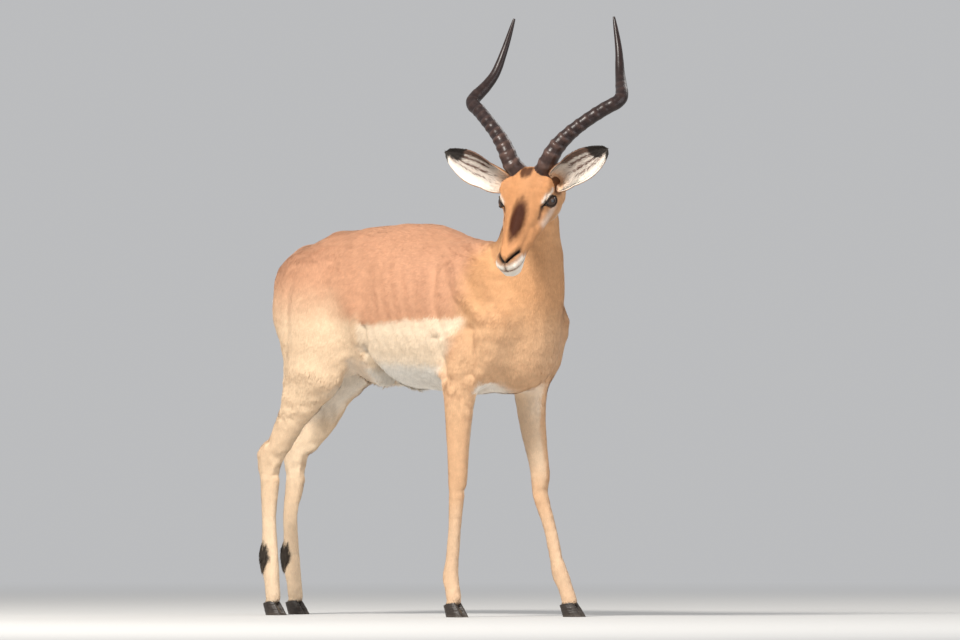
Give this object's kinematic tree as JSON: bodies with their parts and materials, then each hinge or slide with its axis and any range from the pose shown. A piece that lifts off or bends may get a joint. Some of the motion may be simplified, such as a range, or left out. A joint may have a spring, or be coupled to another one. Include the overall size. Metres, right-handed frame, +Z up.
{
  "type": "impala antelope",
  "caption": "Life-size still model of an adult male impala standing alert, lyre-shaped ringed horns, head turned over its right shoulder, short tan coat.",
  "frame": {"origin": "on the floor, under the middle of the bounding box", "axes": "+X towards the animal's front, +Y towards its left, +Z up"},
  "size_m": [1.1246, 0.42, 1.3792],
  "materials": {
    "coat": "short, sleek reddish-tan hair, paler on the lower flank and white beneath",
    "horn": "dark, ringed horn with smooth, glossier tips",
    "eye": "wet, glossy, very dark brown",
    "hoof": "dark, dull horn"
  },
  "bodies": {
    "root": {"head": "coat", "horn_left": "horn", "ear_left": "coat", "eye_left": "eye", "horn_right": "horn", "ear_right": "coat", "eye_right": "eye", "trunk": "coat", "tail": "coat", "neck": "coat", "foreleg_upper_right": "coat", "foreleg_lower_right": "coat", "hoof_fore_right_inner": "hoof", "hoof_fore_right_outer": "hoof", "foreleg_upper_left": "coat", "foreleg_lower_left": "coat", "hoof_fore_left_outer": "hoof", "hoof_fore_left_inner": "hoof", "hindleg_upper_right": "coat", "hindleg_lower_right": "coat", "hoof_hind_right_inner": "hoof", "hoof_hind_right_outer": "hoof", "hindleg_upper_left": "coat", "hindleg_lower_left": "coat", "hoof_hind_left_outer": "hoof", "hoof_hind_left_inner": "hoof"}
  },
  "joints": []
}
